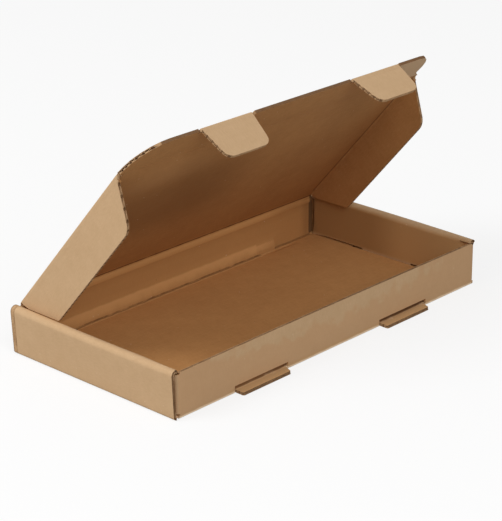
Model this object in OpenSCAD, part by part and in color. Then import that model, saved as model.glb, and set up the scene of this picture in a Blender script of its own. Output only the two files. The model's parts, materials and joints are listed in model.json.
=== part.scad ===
// Corrugated mailer box, folded from one die-cut sheet of thin fluted board and standing open.
// The flutes run along X. X is the long side, the front is at -Y, and the table is z = 0.
// The origin is the middle of the tray's underside.

/* [Box] */
// Length of the tray, outside, at its foot
box_w = 220; // [160:5:320]
// Depth of the tray from front to back, outside
box_d = 110; // [90:5:180]
// Height of the rolled side walls
box_h = 25; // [20:1:45]
// How far the front wall stays below the side walls
front_drop = 2.2; // [1.8:0.1:4]
// How far the lid's crease lies below the top of the side walls
hinge_drop = 0.5; // [0:0.1:0.8]
// Lean of the outer side panels outwards, in degrees
side_lean = 2.5; // [0.5:0.5:4]

/* [Board] */
// Thickness of the board
board_t = 1.5; // [1.2:0.1:1.8]
// Distance from one flute to the next
flute_pitch = 3.2; // [2.6:0.1:5]
// Thickness of each flat liner
liner_t = 0.3; // [0.2:0.05:0.35]
// Thickness of the fluted medium between the liners
medium_t = 0.25; // [0.15:0.05:0.3]
// Width over which each crest of the medium is glued to its liner
glue_w = 0.5; // [0.2:0.1:0.8]
// Inside radius of a fold
fold_r = 0.4; // [0.3:0.1:0.8]
// Gap between boards that lie against each other
ply_gap = 0.1; // [0.05:0.05:0.3]
// Gap between a crease's round edge and the panel that it turns on
crease_gap = 0.25; // [0.2:0.05:0.4]
// Depth to which a raw edge shows open between its liners
edge_depth = 1.2; // [0.6:0.1:2]

/* [Rolled side walls] */
// Length of each corner flap that the side walls hold
corner_flap_l = 50; // [20:1:50]
// Width of each lock tab under the side walls
lock_w = 34; // [16:1:50]
// Length of each lock slot in the floor
lock_slot_l = 48; // [42:1:60]
// Gap around the inner panels and corner flaps where they pass other panels
fit_gap = 0.4; // [0.2:0.1:0.6]
// Clearance around a lock tab in its slot
lock_clear = 0.2; // [0.1:0.1:0.5]

/* [Lid] */
// Angle of the open lid above the horizontal
lid_angle = 49; // [40:1:90]
// Clearance between the lid's side flaps and the side walls
flap_clear = 0.2; // [0.2:0.1:1]
// Clearance between the closed front flap and the front wall
front_clear = 0.3; // [0.2:0.1:1]
// Clearance between the closed side flaps and the floor
side_flap_clear = 1.7; // [0.5:0.1:8]
// Setback of a side flap's front end at its free edge
flap_front_set = 15; // [6:0.5:30]
// Radius of a side flap's front corner
flap_corner_r = 8; // [2:0.5:10]
// Gap between a side flap's back end and the lid's crease
flap_back_gap = 1.2; // [1:0.1:3]
// Radius of a side flap's back corner
flap_heel_r = 2; // [0.5:0.5:4]
// Inward bend of the front flap, in degrees
front_bend = 5.5; // [0:0.5:30]
// How far the front flap's edge stands out beside the tabs
front_edge_out = 0.9; // [0:0.1:0.9]
// Radius of the front flap's ears
ear_r = 17; // [6:0.5:20]

/* [Tabs and slots] */
// Distance of each tab's middle from the box's middle
tab_x = 52; // [30:1:60]
// Width of a tab at its crease
tab_w = 33; // [16:1:40]
// Width of a tab at its free end
tab_end_w = 28; // [12:1:36]
// Length of a tab
tab_l = 18; // [8:0.5:24]
// Radius of a tab's corners
tab_r = 5; // [1:0.5:6]
// Fold of the left tab, in degrees
left_tab_angle = 80; // [60:1:88]
// Fold of the right tab, in degrees
right_tab_angle = 71; // [60:1:88]
// Clearance at each end of a tab in its slot
slot_end_clear = 1.8; // [0.5:0.1:3]
// Clearance above a closed tab in its slot
slot_clear = 0.3; // [0.2:0.1:0.6]
// Clearance between a closed tab and the floor under it
tab_clear = 0.35; // [0.25:0.05:0.6]
// How far each slot's tongue sticks out at the front
tongue_out = 4.5; // [2:0.5:6]
// Gap at each side of a tongue, to the end of its slot
tongue_gap = 1; // [0.4:0.1:2]
// Chamfer at the corners of a tongue
tongue_chamfer = 0.6; // [0.4:0.1:3]

/* [Crease bands] */
// Height of the crushed band at the foot of the back wall
foot_band_h = 7; // [4:0.5:8]
// How far the crushed band stands out from the back wall
foot_band_out = 1.2; // [0.6:0.1:1.6]
// Length of clean crease between the crushed band and the right corner
foot_band_gap = 33; // [10:1:60]
// Height of the scored band under the lid's crease
hinge_band_h = 3.6; // [2:0.2:5]
// How far the scored band stands out
hinge_band_out = 0.35; // [0.2:0.05:0.5]

/* [Hidden] */
$fn = 48;

half_w = box_w / 2;
half_d = box_d / 2;
bend_r = fold_r + board_t;
fold_angle = 10;
flute_steps = 6;
// How far a form is sunk into the panel that it is part of, and how far a cut runs past its piece
sink = 0.1;
over = 1;
open_space = (board_t - 2 * liner_t - medium_t) / 2;

// Side walls: outer panel, corner flaps and inner panel, with a half-round top over them
wall_t = 3 * board_t + 2 * ply_gap;
rise = 90 - side_lean;
roll_outer_r = (wall_t - bend_r * (1 - sin(rise)) + (box_h - bend_r * (1 - cos(rise))) / tan(rise))
    / (1 + sin(rise) + (1 + cos(rise)) / tan(rise));
outer_panel_l = (box_h - roll_outer_r * (1 + cos(rise)) - bend_r * (1 - cos(rise))) / sin(rise);
inner_panel_l = box_h - roll_outer_r - board_t - ply_gap;
inner_panel_half = half_d - board_t - fit_gap;
lock_l = board_t + ply_gap - fit_gap / 2;

// Front and back walls
front_h = box_h - front_drop;
hinge_y = half_d - board_t / 2;
hinge_z = box_h - hinge_drop;
back_h = hinge_z - board_t / 2 - crease_gap;
wall_half = half_w - board_t - ply_gap - bend_r;
corner_flap_top = box_h - roll_outer_r - fit_gap;
corner_flap_foot = bend_r + fit_gap;
middle_half = half_w - wall_t - fit_gap;

// Lid, with its panels centred on the planes that their creases lie in
lid_half = half_w - wall_t - flap_clear - board_t / 2;
lid_l = hinge_y + half_d + front_clear + board_t / 2;
crease_edge = board_t / 2 + crease_gap;
side_flap_h = hinge_z - board_t - side_flap_clear;
flap_back_set = side_flap_h / tan(lid_angle);
flap_front = lid_l - crease_edge;
flap_front_relief = lid_l - (front_clear + board_t / 2) - board_t - fit_gap;
front_wall_reach = front_drop - hinge_drop - flap_clear;
ear_half = lid_half + board_t / 2;

// Tabs, and the lock slots at the foot of the front wall
closed_tab_z = board_t + tab_clear + board_t / 2;
front_flap_h = hinge_z - closed_tab_z;
front_flap_l = front_flap_h + front_edge_out;
tab_edge = front_flap_h - crease_edge;
slot_half = tab_w / 2 + slot_end_clear;
slot_top = closed_tab_z + board_t / 2 + slot_clear;

// A flat length of a folded strip, and a fold in it: positive degrees turn it to its upper side
function flat(length) = [length, 0, 0];
function fold(degrees, radius) = [0, degrees, radius];

// The points of a folded strip's section at height h of the board. The path of flats and folds starts at the
// given place and way, along the strip's underside.
function strip_side(path, h, place = [0, 0], way = 0, i = 0) =
    let (up = [-sin(way), cos(way)])
    i == len(path) ? [place + h * up] :
    path[i][1] == 0 ?
        concat([place + h * up], strip_side(path, h, place + path[i][0] * [cos(way), sin(way)], way, i + 1)) :
    let (
        degrees = path[i][1],
        outer_r = board_t + path[i][2],
        hub = place + outer_r * up,
        steps = ceil(degrees / fold_angle)
    )
    concat(
        [for (k = [0 : steps - 1]) let (turn = way + degrees * k / steps)
            hub + (outer_r - h) * [sin(turn), -cos(turn)]],
        strip_side(path, h, hub + outer_r * [sin(way + degrees), -cos(way + degrees)], way + degrees, i + 1)
    );
function backwards(points) = [for (i = [len(points) - 1 : -1 : 0]) points[i]];

// A folded strip in the XZ plane from y = span[0] to y = span[1], from height lo to height hi of the board
module board_strip(path, span, lo = 0, hi = board_t) {
    translate([0, span[1], 0]) rotate([90, 0, 0]) linear_extrude(span[1] - span[0])
        polygon(concat(strip_side(path, lo), backwards(strip_side(path, hi))));
}
function both(half) = [-half, half];

// The two hollows between liners and medium, which show along a raw edge that is parallel to the flutes
module edge_hollows(path, span) {
    board_strip(path, span, liner_t, liner_t + open_space);
    board_strip(path, span, board_t - liner_t - open_space, board_t - liner_t);
}

// Points of an outline with a round corner of the given radius at each point: [x, y, radius]
function unit(v) = v / norm(v);
function corner(a, b, c, steps = 5) =
    b[2] == 0 ? [[b[0], b[1]]] :
    let (
        p = [b[0], b[1]],
        u = unit([a[0], a[1]] - p),
        v = unit([c[0], c[1]] - p),
        half = acos(u * v) / 2,
        centre = p + unit(u + v) * b[2] / sin(half),
        start = p + u * b[2] / tan(half) - centre,
        turn = 180 - 2 * half,
        way = sign(cross(-u, v))
    )
    [for (k = [0 : steps]) let (w = way * turn * k / steps)
        centre + [start[0] * cos(w) - start[1] * sin(w), start[0] * sin(w) + start[1] * cos(w)]];
function rounded(points) =
    let (n = len(points))
    [for (i = [0 : n - 1]) each corner(points[(i + n - 1) % n], points[i], points[(i + 1) % n])];

// The hollows on both sides of the fluted medium, in section: flutes side by side along X, board centred on y = 0
function medium_y(phase) = (board_t / 2 - liner_t - medium_t / 2) * cos(phase);
module flute_section(from, to) {
    count = floor((to - from) / flute_pitch);
    start = (from + to - count * flute_pitch) / 2;
    for (i = [0 : count - 1], side = [-1, 1]) {
        // a hollow runs from one glued crest of the medium to the next, the lower ones half a flute on
        left = start + (side > 0 ? i : i - 0.5) * flute_pitch;
        liner_y = side * (board_t / 2 - liner_t);
        wave = [for (k = [1 : flute_steps - 1])
            [left + flute_pitch * k / flute_steps, side * (medium_y(360 * k / flute_steps) + medium_t / 2)]];
        polygon(concat([[left + glue_w / 2, liner_y]], wave, [[left + flute_pitch - glue_w / 2, liner_y]]));
    }
}

// One rolled side wall, at +X: its outer panel, half-round top, inner panel and lock tab
module side_wall() {
    roll_r = roll_outer_r - board_t;
    outer = [
        flat(sink), fold(rise, fold_r), flat(outer_panel_l),
        fold(90 + side_lean, roll_r), fold(90, roll_r),
    ];
    inner = concat(outer, [flat(inner_panel_l)]);
    translate([half_w - bend_r - sink, 0, 0]) {
        difference() {
            board_strip(outer, both(half_d));
            for (end = [0, 1]) mirror([0, end, 0])
                edge_hollows(outer, [half_d - edge_depth, half_d + over]);
        }
        board_strip(inner, both(inner_panel_half));
        board_strip(concat(inner, [flat(lock_l)]), both(lock_w / 2));
    }
}

// The front or back wall, at -Y, with shoulders under the rolled tops, and its two corner flaps turned in behind
// the outer side panels
module end_wall(height) {
    foot = [flat(sink), fold(90, fold_r)];
    translate([0, bend_r - half_d + sink, 0]) rotate([0, 0, -90]) {
        board_strip(concat(foot, [flat(height - bend_r)]), both(middle_half));
        board_strip(concat(foot, [flat(corner_flap_top - bend_r)]), both(wall_half));
    }
    for (end = [0, 1]) mirror([end, 0, 0])
        translate([wall_half - sink, -half_d, 0]) mirror([0, 1, 0]) rotate([90, 0, 0])
            board_strip(concat(foot, [flat(corner_flap_l - bend_r)]), [corner_flap_foot, corner_flap_top]);
}

// The floor up to its four folds, without the lock tabs' slots
module floor_panel() {
    lock_face = half_w - wall_t;
    difference() {
        translate([bend_r - half_w, bend_r - half_d, 0])
            cube([box_w - 2 * bend_r, box_d - 2 * bend_r, board_t]);
        for (end = [0, 1]) mirror([end, 0, 0])
            translate([lock_face - lock_clear, -lock_slot_l / 2, -over])
                cube([board_t + 2 * lock_clear, lock_slot_l, board_t + 2 * over]);
    }
}

// A tongue of the floor that is left flat where a lock slot is cut, and the slot's opening above it
module tongue() {
    half = slot_half - tongue_gap;
    root = bend_r - half_d + sink;
    tip = -half_d - tongue_out;
    difference() {
        translate([tab_x, 0, 0]) linear_extrude(board_t)
            polygon([
                [-half, root], [-half, tip + tongue_chamfer], [tongue_chamfer - half, tip],
                [half - tongue_chamfer, tip], [half, tip + tongue_chamfer], [half, root],
            ]);
        for (hollow_z = [liner_t, board_t - liner_t - open_space])
            translate([tab_x - half - over, tip - over, hollow_z])
                cube([2 * (half + over), over + edge_depth, open_space]);
    }
}
module slot_opening() {
    translate([tab_x - slot_half, -half_d - over, -over])
        cube([2 * slot_half, bend_r + over, slot_top + over]);
}

// The two bands that the scores raise on the back wall's inner face, as sections along X
module crease_bands() {
    face = half_d - board_t;
    translate([-middle_half, 0, 0]) rotate([90, 0, 90]) linear_extrude(middle_half + wall_half - foot_band_gap)
        polygon([
            [face + sink, board_t - sink], [face - foot_band_out, board_t - sink],
            [face - foot_band_out, board_t + foot_band_h / 4],
            [face - foot_band_out / 2, board_t + foot_band_h * 3 / 4],
            [face, board_t + foot_band_h], [face + sink, board_t + foot_band_h],
        ]);
    translate([-middle_half, 0, back_h]) rotate([90, 0, 90]) linear_extrude(2 * middle_half)
        polygon([
            [face + sink, -hinge_band_h], [face, -hinge_band_h],
            [face - hinge_band_out, -hinge_band_h * 3 / 4], [face - hinge_band_out, -hinge_band_h / 4],
            [face, 0], [face + sink, 0],
        ]);
}

module tray() {
    color("burlywood") {
        floor_panel();
        for (end = [0, 1]) mirror([end, 0, 0]) side_wall();
        difference() {
            end_wall(front_h);
            for (end = [0, 1]) mirror([end, 0, 0]) slot_opening();
            for (hollow_y = [liner_t, board_t - liner_t - open_space])
                translate([-middle_half, hollow_y - half_d, front_h - edge_depth])
                    cube([2 * middle_half, open_space, edge_depth + over]);
        }
        for (end = [0, 1]) mirror([end, 0, 0]) tongue();
        mirror([0, 1, 0]) end_wall(back_h);
        crease_bands();
    }
}

// Places its children in the open lid's own frame: +X as the box, +Y away from the hinge, +Z to the lid's inside
module lid_frame() {
    translate([0, hinge_y, hinge_z]) rotate([180 - lid_angle, 0, 0]) children();
}
module front_flap_frame() {
    lid_frame() translate([0, lid_l, 0]) rotate([front_bend, 0, 0]) children();
}

// The round edge of a panel, on its crease, from x = -half to x = half
module round_edge(half) {
    translate([-half, 0, 0]) rotate([0, 90, 0]) cylinder(d = board_t, h = 2 * half);
}

module lid() {
    half = lid_half - crease_edge;
    color("peru") lid_frame() {
        translate([-half, 0, -board_t / 2]) cube([2 * half, lid_l - crease_edge, board_t]);
        round_edge(half);
    }
}

// A side flap of the lid, at +X, turned square to the lid, with its open flutes down to the free edge
module side_flap() {
    outline = rounded([
        [flap_back_gap, 0, 0],
        [flap_back_gap + flap_back_set, side_flap_h, flap_heel_r],
        [flap_front - flap_front_set, side_flap_h, flap_corner_r],
        [flap_front_relief, front_wall_reach, 0],
        [flap_front, 0, 0],
    ]);
    lid_frame() translate([lid_half, 0, 0]) {
        difference() {
            // turns the outline's X to the lid's Y, and its Y to the lid's Z
            rotate([90, 0, 90]) translate([0, 0, -board_t / 2]) linear_extrude(board_t) polygon(outline);
            translate([0, 0, crease_edge + edge_depth]) rotate([0, 0, 90])
                linear_extrude(side_flap_h) flute_section(flap_back_gap, flap_front);
        }
        translate([0, flap_back_gap, 0]) rotate([-90, 0, 0])
            cylinder(d = board_t, h = flap_front - flap_back_gap);
    }
}

// The lid's front flap, with a round ear at each end and a notch in its edge where each tab turns
module front_flap() {
    notch = slot_half + ply_gap;
    color("peru") front_flap_frame() {
        difference() {
            translate([0, 0, -board_t / 2]) linear_extrude(board_t) difference() {
                polygon(rounded([
                    [-ear_half, 0, 0], [ear_half, 0, 0],
                    [ear_half, front_flap_l, ear_r], [-ear_half, front_flap_l, ear_r],
                ]));
                for (side = [-1, 1]) translate([side * tab_x - notch, tab_edge])
                    square([2 * notch, front_flap_l]);
            }
            translate([-ear_half - over, 0, 0]) rotate([90, 0, 90])
                linear_extrude(2 * (ear_half + over)) flute_section(crease_edge, front_flap_l - liner_t);
        }
        round_edge(lid_half - crease_edge);
    }
}

// A tuck tab at the given place along the front flap's edge, folded in by the given angle
module tab(x, angle) {
    front_flap_frame() translate([x, front_flap_h, 0]) rotate([angle, 0, 0]) {
        difference() {
            translate([0, 0, -board_t / 2]) linear_extrude(board_t) polygon(rounded([
                [-tab_w / 2, 0, 0], [tab_w / 2, 0, 0],
                [tab_end_w / 2, tab_l, tab_r], [-tab_end_w / 2, tab_l, tab_r],
            ]));
            translate([-tab_w / 2 - over, 0, 0]) rotate([90, 0, 90])
                linear_extrude(tab_w + 2 * over) flute_section(crease_edge, tab_l - liner_t);
        }
        round_edge(tab_w / 2);
    }
}

module side_flap_left() {
    color("tan") mirror([1, 0, 0]) side_flap();
}
module side_flap_right() {
    color("tan") side_flap();
}
module tab_left() {
    color("wheat") tab(-tab_x, left_tab_angle);
}
module tab_right() {
    color("wheat") tab(tab_x, right_tab_angle);
}

tray();
lid();
side_flap_left();
side_flap_right();
front_flap();
tab_left();
tab_right();
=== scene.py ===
"""A corrugated mailer box standing open: its board panels, crease liners, finishes, light and camera."""
import json
import logging
import math
from dataclasses import dataclass
from enum import Enum
from typing import Callable, Sequence, Union

import bpy
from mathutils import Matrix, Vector

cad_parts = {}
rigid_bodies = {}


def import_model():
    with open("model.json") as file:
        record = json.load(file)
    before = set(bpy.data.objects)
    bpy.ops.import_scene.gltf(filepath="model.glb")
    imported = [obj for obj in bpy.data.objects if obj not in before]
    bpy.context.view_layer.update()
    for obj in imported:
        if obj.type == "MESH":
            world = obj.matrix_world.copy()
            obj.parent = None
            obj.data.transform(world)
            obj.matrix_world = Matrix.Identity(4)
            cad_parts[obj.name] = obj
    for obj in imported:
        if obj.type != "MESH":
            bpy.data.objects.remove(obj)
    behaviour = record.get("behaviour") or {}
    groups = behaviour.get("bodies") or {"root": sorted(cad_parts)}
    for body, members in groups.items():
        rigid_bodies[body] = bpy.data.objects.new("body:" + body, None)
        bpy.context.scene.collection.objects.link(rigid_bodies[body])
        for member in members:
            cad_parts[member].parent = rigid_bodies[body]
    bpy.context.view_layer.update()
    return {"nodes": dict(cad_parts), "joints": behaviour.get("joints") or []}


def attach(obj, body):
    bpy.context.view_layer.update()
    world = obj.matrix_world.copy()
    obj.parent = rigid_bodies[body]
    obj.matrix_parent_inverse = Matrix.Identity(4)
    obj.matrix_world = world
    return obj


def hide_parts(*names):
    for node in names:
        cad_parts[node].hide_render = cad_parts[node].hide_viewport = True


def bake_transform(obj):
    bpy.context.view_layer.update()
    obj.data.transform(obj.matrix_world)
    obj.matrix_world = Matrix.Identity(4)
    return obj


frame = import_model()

LOG = logging.getLogger("mailer_box")
MM = 0.001


class Liner(Enum):
    """The faces of a board panel, by their material slot."""

    OUTER = 0
    INNER = 1
    RAW = 2


@dataclass(frozen=True)
class Board:
    """The board's own sizes, in metres."""

    thickness: float = 1.5 * MM
    liner: float = 0.3 * MM
    flute_pitch: float = 3.2 * MM


BOARD = Board()
HALF_BOARD = BOARD.thickness / 2
FLUTE_TURN = 2 * math.pi / BOARD.flute_pitch

# A polygon faces along an axis when its normal has more than this along it.
FACING = 0.7
# It leans towards the axis when its normal has more than this along it.
LEANING = 0.3
# How far a polygon of a liner may lie from the board's true face.
SKIN = 0.03 * MM
# How far past a plane a point has to be to count as beyond it.
HAIR = 0.05 * MM

Triple = tuple[float, float, float]


class Bench:
    """The workbench: what is selected, and the operators that shape it."""

    @staticmethod
    def clear() -> None:
        """Leaves edit mode and deselects everything."""
        if bpy.context.object is not None and bpy.context.object.mode != "OBJECT":
            bpy.ops.object.mode_set(mode="OBJECT")
        bpy.ops.object.select_all(action="DESELECT")

    @staticmethod
    def take(piece: bpy.types.Object) -> None:
        """Makes one object the only one selected, and active.

        Args:
            piece: The object.
        """
        Bench.clear()
        piece.select_set(True)
        bpy.context.view_layer.objects.active = piece

    @staticmethod
    def open_up(piece: bpy.types.Object) -> None:
        """Opens an object in edit mode with all of it selected.

        Args:
            piece: The object.
        """
        Bench.take(piece)
        bpy.ops.object.mode_set(mode="EDIT")
        bpy.ops.mesh.select_mode(type="FACE")
        bpy.ops.mesh.select_all(action="SELECT")

    @staticmethod
    def close() -> None:
        """Goes back to object mode."""
        bpy.ops.object.mode_set(mode="OBJECT")

    @staticmethod
    def cut(piece: bpy.types.Object, point: Vector, normal: Vector, step: float, count: int) -> None:
        """Cuts a mesh by parallel planes, so that it can bend.

        Args:
            piece: The object to cut, which stays in one piece.
            point: A point on the first plane.
            normal: The planes' normal, along which they follow each other.
            step: The distance between planes.
            count: How many planes.
        """
        Bench.open_up(piece)
        for i in range(count):
            bpy.ops.mesh.select_all(action="SELECT")
            bpy.ops.mesh.bisect(plane_co=point + normal * step * i, plane_no=normal)
        Bench.close()

    @staticmethod
    def apply(piece: bpy.types.Object, kind: str, **settings: object) -> None:
        """Adds a modifier, sets it and applies it.

        Args:
            piece: The object that it works on.
            kind: The modifier's type.
            settings: Its properties by name.
        """
        Bench.take(piece)
        modifier = piece.modifiers.new(kind.lower(), kind)
        for name, value in settings.items():
            setattr(modifier, name, value)
        bpy.ops.object.modifier_apply(modifier=modifier.name)

    @staticmethod
    def smooth(piece: bpy.types.Object, degrees: float = 32.0) -> None:
        """Shades an object smooth, apart from its edges sharper than the given angle."""
        Bench.take(piece)
        bpy.ops.object.shade_smooth_by_angle(angle=math.radians(degrees))


Value = Union["Wire", float]


class Wire:
    """A number that flows through a material, with arithmetic that adds Math nodes."""

    def __init__(self, sheet: "NodeSheet", socket: bpy.types.NodeSocket) -> None:
        """Wraps an output socket of the given node sheet."""
        self.sheet = sheet
        self.socket = socket

    def _math(self, operation: str, first: Value, second: Value) -> "Wire":
        """Adds one Math node over two values."""
        return self.sheet.node("ShaderNodeMath", {"operation": operation}, {0: first, 1: second})

    def __add__(self, other: Value) -> "Wire":
        """self + other."""
        return self._math("ADD", self, other)

    def __radd__(self, other: Value) -> "Wire":
        """other + self."""
        return self._math("ADD", other, self)

    def __sub__(self, other: Value) -> "Wire":
        """self - other."""
        return self._math("SUBTRACT", self, other)

    def __rsub__(self, other: Value) -> "Wire":
        """other - self."""
        return self._math("SUBTRACT", other, self)

    def __mul__(self, other: Value) -> "Wire":
        """self * other."""
        return self._math("MULTIPLY", self, other)

    def __rmul__(self, other: Value) -> "Wire":
        """other * self."""
        return self._math("MULTIPLY", other, self)

    def __abs__(self) -> "Wire":
        """The value without its sign."""
        return self._math("ABSOLUTE", self, 0.0)

    def sine(self) -> "Wire":
        """The sine of the value in radians."""
        return self._math("SINE", self, 0.0)

    def ramp(self, low: float, high: float) -> "Wire":
        """A smooth step from 0 to 1.

        Args:
            low: The value where it is 0, which may be the larger one.
            high: The value where it is 1.

        Returns:
            The step's wire.
        """
        settings = {"interpolation_type": "SMOOTHSTEP"}
        if low > high:
            return 1.0 - self.ramp(high, low)
        return self.sheet.node("ShaderNodeMapRange", settings, {0: self, 1: low, 2: high})


class NodeSheet:
    """One material's nodes."""

    def __init__(self, name: str) -> None:
        """Makes an empty material of the given name."""
        self.material = bpy.data.materials.new(name)
        self.material.use_nodes = True
        self.tree = self.material.node_tree
        self.tree.nodes.clear()

    def node(
        self,
        kind: str,
        settings: dict[str, object] | None = None,
        inputs: dict[Union[int, str], object] | None = None,
        output: Union[int, str] = 0,
    ) -> "Wire | None":
        """Adds any node.

        Args:
            kind: The node's type.
            settings: Its own properties, set first.
            inputs: The values or wires of its sockets, by number or name.
            output: The socket that is returned.

        Returns:
            The wire of that output, or nothing from a node that has none.
        """
        made = self.tree.nodes.new(kind)
        for name, value in (settings or {}).items():
            setattr(made, name, value)
        for key, value in (inputs or {}).items():
            if isinstance(value, Wire):
                self.tree.links.new(value.socket, made.inputs[key])
            else:
                made.inputs[key].default_value = value
        return Wire(self, made.outputs[output]) if len(made.outputs) else None

    def place(self) -> Wire:
        """The surface point in object coordinates, in metres."""
        return self.node("ShaderNodeTexCoord", output="Object")

    def split(self, vector: Wire) -> tuple[Wire, Wire, Wire]:
        """The three numbers of a vector."""
        first = self.node("ShaderNodeSeparateXYZ", inputs={0: vector})
        return first, *(Wire(self, socket) for socket in first.socket.node.outputs[1:])

    def join(self, x: Value, y: Value, z: Value) -> Wire:
        """A vector of three numbers."""
        return self.node("ShaderNodeCombineXYZ", inputs={0: x, 1: y, 2: z})

    def noise(self, vector: Wire, scale: float, detail: float = 2.0, rough: float = 0.5) -> Wire:
        """Noise from 0 to 1 around 0.5."""
        inputs = {"Vector": vector, "Scale": scale, "Detail": detail, "Roughness": rough}
        return self.node("ShaderNodeTexNoise", inputs=inputs)

    def specks(self, vector: Wire, scale: float, size: float, share: float) -> Wire:
        """Small scattered dots.

        Args:
            vector: The place.
            scale: How many cells per metre.
            size: A dot's radius as a share of its cell.
            share: The share of cells that have a dot.

        Returns:
            1 on a dot, 0 beside it.
        """
        settings = {"feature": "F1"}
        near = self.node("ShaderNodeTexVoronoi", settings, {"Vector": vector, "Scale": scale})
        colour = Wire(self, near.socket.node.outputs["Color"])
        pick, _, _ = self.split(colour)
        return near.ramp(size, size * 0.6) * pick.ramp(1.0 - share, 1.0 - share + 0.02)

    def mix(self, factor: Value, first: object, second: object) -> Wire:
        """Mixes two colours."""
        settings = {"data_type": "RGBA", "blend_type": "MIX", "clamp_factor": True}
        return self.node("ShaderNodeMix", settings, {0: factor, 6: first, 7: second}, output=2)

    def bump(self, height: Value, distance: float, strength: float = 1.0) -> Wire:
        """A normal that is tilted by a height."""
        inputs = {"Height": height, "Distance": distance, "Strength": strength}
        return self.node("ShaderNodeBump", inputs=inputs)

    def finish(self, shader: Wire) -> bpy.types.Material:
        """Puts a shader on the surface and returns the material."""
        self.node("ShaderNodeOutputMaterial", inputs={"Surface": shader})
        return self.material


def colour(red: float, green: float, blue: float) -> tuple[float, float, float, float]:
    """Makes a colour linear.

    Args:
        red: The red channel as it is seen on a screen, 0 to 255.
        green: The green channel.
        blue: The blue channel.

    Returns:
        The linear colour, opaque.
    """
    def linear(channel: float) -> float:
        """One channel by the screen's own curve."""
        share = channel / 255
        return share / 12.92 if share <= 0.04045 else ((share + 0.055) / 1.055) ** 2.4

    return linear(red), linear(green), linear(blue), 1.0


WHITE = (1.0, 1.0, 1.0, 1.0)


@dataclass(frozen=True)
class Mark:
    """A place where the liner is lighter or darker, by a change of its own tone or by painted light or
    shade: a box on the object with soft edges.

    Sizes are millimetres. The edges of its high side are as soft as those of its low side, unless given.
    """

    low: Triple
    high: Triple
    soft: Triple
    paint: Triple
    share: float = 1.0
    soft_high: Triple | None = None

    def cover(self, axes: Sequence[Wire]) -> Wire:
        """How far the mark covers a point.

        Args:
            axes: The point's x, y and z, in metres.

        Returns:
            From 0 to the mark's share.
        """
        cover: Value = self.share
        ends = zip(axes, self.low, self.high, self.soft, self.soft_high or self.soft)
        for axis, low, high, soft_low, soft_high in ends:
            cover = cover * axis.ramp(low * MM, (low + soft_low) * MM)
            cover = cover * axis.ramp(high * MM, (high - soft_high) * MM)
        return cover


@dataclass(frozen=True)
class KraftLiner:
    """Unbleached kraft liner over flutes that show through it faintly.

    The piece's UV map "blank" holds metres along the flutes and across them. The fields from cloud to rib
    say how far each pattern takes the colour from the dark tone to the light one. Scales are per metre.
    """

    name: str
    tone: Triple
    dark: Triple
    cloud: float = 0.35
    blotch: float = 0.45
    grain: float = 0.5
    fibre: float = 0.6
    rib: float = 0.012
    rib_height: float = 0.000004
    grain_height: float = 0.00006
    roughness: float = 0.82
    marks: tuple[Mark, ...] = ()

    CLOUD_SCALE = 28.0
    BLOTCH_SCALE = 150.0
    GRAIN_SCALE = 1500.0
    FIBRE_SCALE = (1500.0, 330.0)
    WANDER_SCALE = 170.0
    WANDER = 0.8 * MM
    # Scale, size and share of the dark dots and the light flecks.
    DOTS = (330.0, 0.10, 0.05)
    FLECKS = (300.0, 0.12, 0.10)
    DOT_PAINT = (88, 58, 34)
    FLECK_PAINT = (226, 200, 168)

    def build(self) -> bpy.types.Material:
        """Makes the material.

        Returns:
            The material.
        """
        sheet = NodeSheet(self.name)
        place = sheet.place()
        along, across, _ = sheet.split(sheet.node("ShaderNodeUVMap", {"uv_map": "blank"}))
        cloud = sheet.noise(place, self.CLOUD_SCALE, 3.0)
        blotch = sheet.noise(place, self.BLOTCH_SCALE, 3.0, 0.6)
        fine = sheet.noise(place, self.GRAIN_SCALE, 3.0, 0.65)
        strand = sheet.join(along * self.FIBRE_SCALE[0], across * self.FIBRE_SCALE[1], cloud * 2.0)
        fibre = sheet.noise(strand, 1.0, 3.0, 0.6)
        ribs = (across * FLUTE_TURN + cloud * 1.6).sine()
        tone = (
            0.5
            + (cloud - 0.5) * self.cloud
            + (blotch - 0.5) * self.blotch
            + (fine - 0.5) * self.grain
            + (fibre - 0.5) * self.fibre
            + ribs * self.rib
        )
        base = sheet.mix(tone, colour(*self.dark), colour(*self.tone))
        base = self._marked(sheet, place, base)
        base = sheet.mix(sheet.specks(place, *self.DOTS) * 0.4, base, colour(*self.DOT_PAINT))
        base = sheet.mix(sheet.specks(place, *self.FLECKS) * 0.5, base, colour(*self.FLECK_PAINT))
        relief = sheet.bump(ribs * 0.5 + 0.5, self.rib_height)
        grain = sheet.bump(fine * 0.6 + fibre * 0.4, self.grain_height, 0.6)
        sheet.tree.links.new(relief.socket, grain.socket.node.inputs["Normal"])
        shader = sheet.node("ShaderNodeBsdfPrincipled", inputs={
            "Base Color": base, "Roughness": self.roughness + (fine - 0.5) * 0.2, "Normal": grain,
            "Specular IOR Level": 0.25,
        })
        return sheet.finish(shader)

    def _marked(self, sheet: NodeSheet, place: Wire, base: Wire) -> Wire:
        """Lays the marks over the base colour, with edges that wander a little.

        Args:
            sheet: The material's nodes.
            place: The surface point.
            base: The colour below.

        Returns:
            The colour with its marks.
        """
        wander = (sheet.noise(place, self.WANDER_SCALE, 2.0) - 0.5) * self.WANDER
        axes = [axis + wander for axis in sheet.split(place)]
        for mark in self.marks:
            base = sheet.mix(mark.cover(axes), base, colour(*mark.paint))
        return base


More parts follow.
